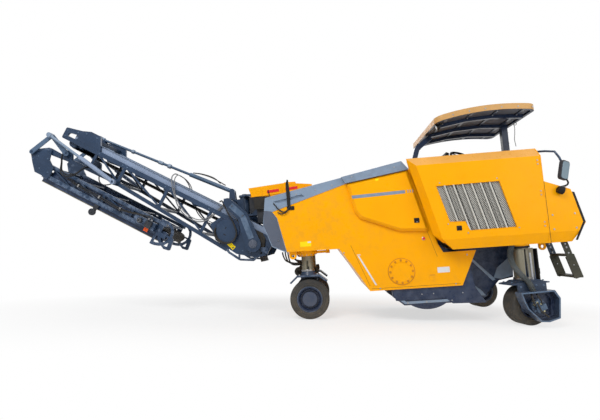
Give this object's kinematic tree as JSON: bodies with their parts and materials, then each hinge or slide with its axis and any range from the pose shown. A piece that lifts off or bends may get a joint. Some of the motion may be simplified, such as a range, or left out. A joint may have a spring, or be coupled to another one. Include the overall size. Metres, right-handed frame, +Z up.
{
  "type": "cold planer milling machine",
  "caption": "Wheeled cold planer with a front conveyor that folds back under itself, lifting columns, milling drum, canopy and side doors",
  "frame": {"origin": "bottom centre of the bounding box, on the ground", "axes": "+X forward to the discharge end, +Y left, +Z up"},
  "size_m": [9.376, 2.8568, 3.536],
  "materials": {
    "body_yellow": "satin",
    "slate_trim": "satin",
    "cast_block": "rough",
    "dark_plastic": "matte",
    "seat_cover": "matte",
    "roof_tan": "satin",
    "dark_blue_frame": "satin",
    "step_rubber": "matte",
    "dark_steel": "satin",
    "worn_steel": "worn",
    "belt_rubber": "matte",
    "rod_chrome": "polished",
    "louvre_grey": "matte",
    "tyre_rubber": "matte"
  },
  "bodies": {
    "chassis": {"hull": "body_yellow", "nose_trim": "slate_trim", "housing": "body_yellow", "engine": "cast_block", "console": "dark_plastic", "seat": "seat_cover", "roof": "roof_tan", "roof_frame": "dark_blue_frame", "ladder": "step_rubber", "mirrors": "dark_plastic", "drum_box": "dark_steel", "edge_plates": "worn_steel", "primary_conveyor": "dark_blue_frame", "primary_belt": "belt_rubber", "slew_console": "dark_blue_frame", "transfer_hood": "body_yellow"},
    "milling_drum": {"drum": "worn_steel"},
    "slew_bracket": {"slew_bracket": "body_yellow"},
    "boom_inner": {"boom_main": "dark_blue_frame", "main_belt": "belt_rubber"},
    "boom_outer": {"boom_outer": "dark_blue_frame", "outer_belt": "belt_rubber"},
    "fold_rockers": {"fold_rockers": "dark_steel"},
    "fold_links": {"fold_links": "dark_steel"},
    "fold_barrels": {"fold_barrels": "dark_steel"},
    "fold_rams": {"fold_rams": "rod_chrome"},
    "luff_barrel": {"luff_barrel": "dark_steel"},
    "luff_ram": {"luff_ram": "rod_chrome"},
    "front_left_leg": {"front_left_leg": "dark_steel"},
    "front_left_wheel": {"front_left_tyre": "tyre_rubber", "front_left_rim": "body_yellow"},
    "front_right_leg": {"front_right_leg": "dark_steel"},
    "front_right_wheel": {"front_right_tyre": "tyre_rubber", "front_right_rim": "body_yellow"},
    "rear_left_leg": {"rear_left_leg": "body_yellow"},
    "rear_left_wheel": {"rear_left_tyre": "tyre_rubber", "rear_left_rim": "body_yellow"},
    "rear_right_leg": {"rear_right_leg": "body_yellow"},
    "rear_right_wheel": {"rear_right_tyre": "tyre_rubber", "rear_right_rim": "body_yellow"},
    "side_door_left": {"side_door_left": "body_yellow", "louvre_left": "louvre_grey"},
    "service_door_left": {"service_door_left": "body_yellow"},
    "side_door_right": {"side_door_right": "body_yellow", "louvre_right": "louvre_grey"},
    "service_door_right": {"service_door_right": "body_yellow"}
  },
  "joints": [
    {"name": "drum_spin", "type": "hinge", "parent": "chassis", "child": "milling_drum", "pos_m": [-2.35218, 0.00364, 0.73317], "axis": [0, 1, 0], "continuous": true},
    {"name": "boom_slew", "type": "hinge", "parent": "chassis", "child": "slew_bracket", "pos_m": [0.79188, 0.00364, 1.97187], "axis": [0.0698, 0, 0.9976], "range_deg": [-30, 30]},
    {"name": "boom_luff", "type": "hinge", "parent": "slew_bracket", "child": "boom_inner", "pos_m": [0.53126, 0.00364, 1.25], "axis": [0, -1, 0], "range_deg": [-10, 0]},
    {"name": "boom_fold", "type": "hinge", "parent": "boom_inner", "child": "boom_outer", "pos_m": [4.34648, 0.00364, 2.96526], "axis": [0, -1, 0], "range_deg": [0, 170]},
    {"name": "fold_rocker_turn", "type": "hinge", "parent": "boom_inner", "child": "fold_rockers", "pos_m": [3.99747, 0.00364, 2.90366], "axis": [0, -1, 0], "range_deg": [-1, 110.4]},
    {"name": "fold_link_turn", "type": "hinge", "parent": "boom_outer", "child": "fold_links", "pos_m": [4.6371, 0.00364, 2.94206], "axis": [0, -1, 0], "range_deg": [-134.72, 1]},
    {"name": "fold_barrel_turn", "type": "hinge", "parent": "boom_inner", "child": "fold_barrels", "pos_m": [3.05227, 0.00364, 2.3563], "axis": [0, -1, 0], "range_deg": [-1, 17.27]},
    {"name": "fold_ram_slide", "type": "slide", "parent": "fold_barrels", "child": "fold_rams", "axis": [0.813, 0, 0.5823], "range_m": [-0.614, 0.001]},
    {"name": "luff_barrel_turn", "type": "hinge", "parent": "slew_bracket", "child": "luff_barrel", "pos_m": [1.03126, 0.00364, 2.25], "axis": [0, -1, 0], "range_deg": [-12.78, 0.2]},
    {"name": "luff_ram_slide", "type": "slide", "parent": "luff_barrel", "child": "luff_ram", "axis": [0.9268, 0, 0.3756], "range_m": [-0.003, 0.1471]},
    {"name": "front_left_steer", "type": "hinge", "parent": "chassis", "child": "front_left_leg", "pos_m": [-0.42892, 0.66364, 0.89941], "axis": [0.0698, 0, 0.9976], "range_deg": [-30, 30]},
    {"name": "front_left_spin", "type": "hinge", "parent": "front_left_leg", "child": "front_left_wheel", "pos_m": [-0.46874, 0.66364, 0.33], "axis": [0, 1, 0], "continuous": true},
    {"name": "front_right_steer", "type": "hinge", "parent": "chassis", "child": "front_right_leg", "pos_m": [-0.42892, -0.65636, 0.89941], "axis": [0.0698, 0, 0.9976], "range_deg": [-30, 30]},
    {"name": "front_right_spin", "type": "hinge", "parent": "front_right_leg", "child": "front_right_wheel", "pos_m": [-0.46874, -0.65636, 0.33], "axis": [0, 1, 0], "continuous": true},
    {"name": "rear_left_steer", "type": "hinge", "parent": "chassis", "child": "rear_left_leg", "pos_m": [-3.79123, 1.02364, 1.13453], "axis": [0.0698, 0, 0.9976], "range_deg": [-30, 30]},
    {"name": "rear_left_spin", "type": "hinge", "parent": "rear_left_leg", "child": "rear_left_wheel", "pos_m": [-3.84874, 1.02364, 0.31214], "axis": [-0.2074, 0.9781, 0.0145], "continuous": true},
    {"name": "rear_right_steer", "type": "hinge", "parent": "chassis", "child": "rear_right_leg", "pos_m": [-3.79123, -1.01636, 1.13453], "axis": [0.0698, 0, 0.9976], "range_deg": [-30, 30]},
    {"name": "rear_right_spin", "type": "hinge", "parent": "rear_right_leg", "child": "rear_right_wheel", "pos_m": [-3.84874, -1.01636, 0.31214], "axis": [-0.2074, 0.9781, 0.0145], "continuous": true},
    {"name": "side_door_left_swing", "type": "hinge", "parent": "chassis", "child": "side_door_left", "pos_m": [-4.10099, 1.25364, 1.95814], "axis": [0.0698, 0, 0.9976], "range_deg": [0, 90]},
    {"name": "service_door_left_lift", "type": "hinge", "parent": "chassis", "child": "service_door_left", "pos_m": [-1.60022, 1.03364, 2.34063], "axis": [0.977, 0, -0.2133], "range_deg": [0, 80]},
    {"name": "side_door_right_swing", "type": "hinge", "parent": "chassis", "child": "side_door_right", "pos_m": [-4.10099, -1.24636, 1.95814], "axis": [-0.0698, 0, -0.9976], "range_deg": [0, 90]},
    {"name": "service_door_right_lift", "type": "hinge", "parent": "chassis", "child": "service_door_right", "pos_m": [-1.60022, -1.02636, 2.34063], "axis": [-0.977, 0, 0.2133], "range_deg": [0, 80]}
  ],
  "couplings": [
    {"joint": "fold_rocker_turn", "follows": "boom_fold", "ratio": 0.64354},
    {"joint": "fold_link_turn", "follows": "boom_fold", "ratio": -0.7866},
    {"joint": "fold_barrel_turn", "follows": "boom_fold", "ratio": 0.095733},
    {"joint": "fold_ram_slide", "follows": "boom_fold", "m_per_rad": -0.2066},
    {"joint": "luff_barrel_turn", "follows": "boom_luff", "ratio": 1.2575},
    {"joint": "luff_ram_slide", "follows": "boom_luff", "m_per_rad": -0.82555},
    {"joint": "front_right_steer", "follows": "front_left_steer", "ratio": 1},
    {"joint": "rear_right_steer", "follows": "rear_left_steer", "ratio": 1}
  ]
}
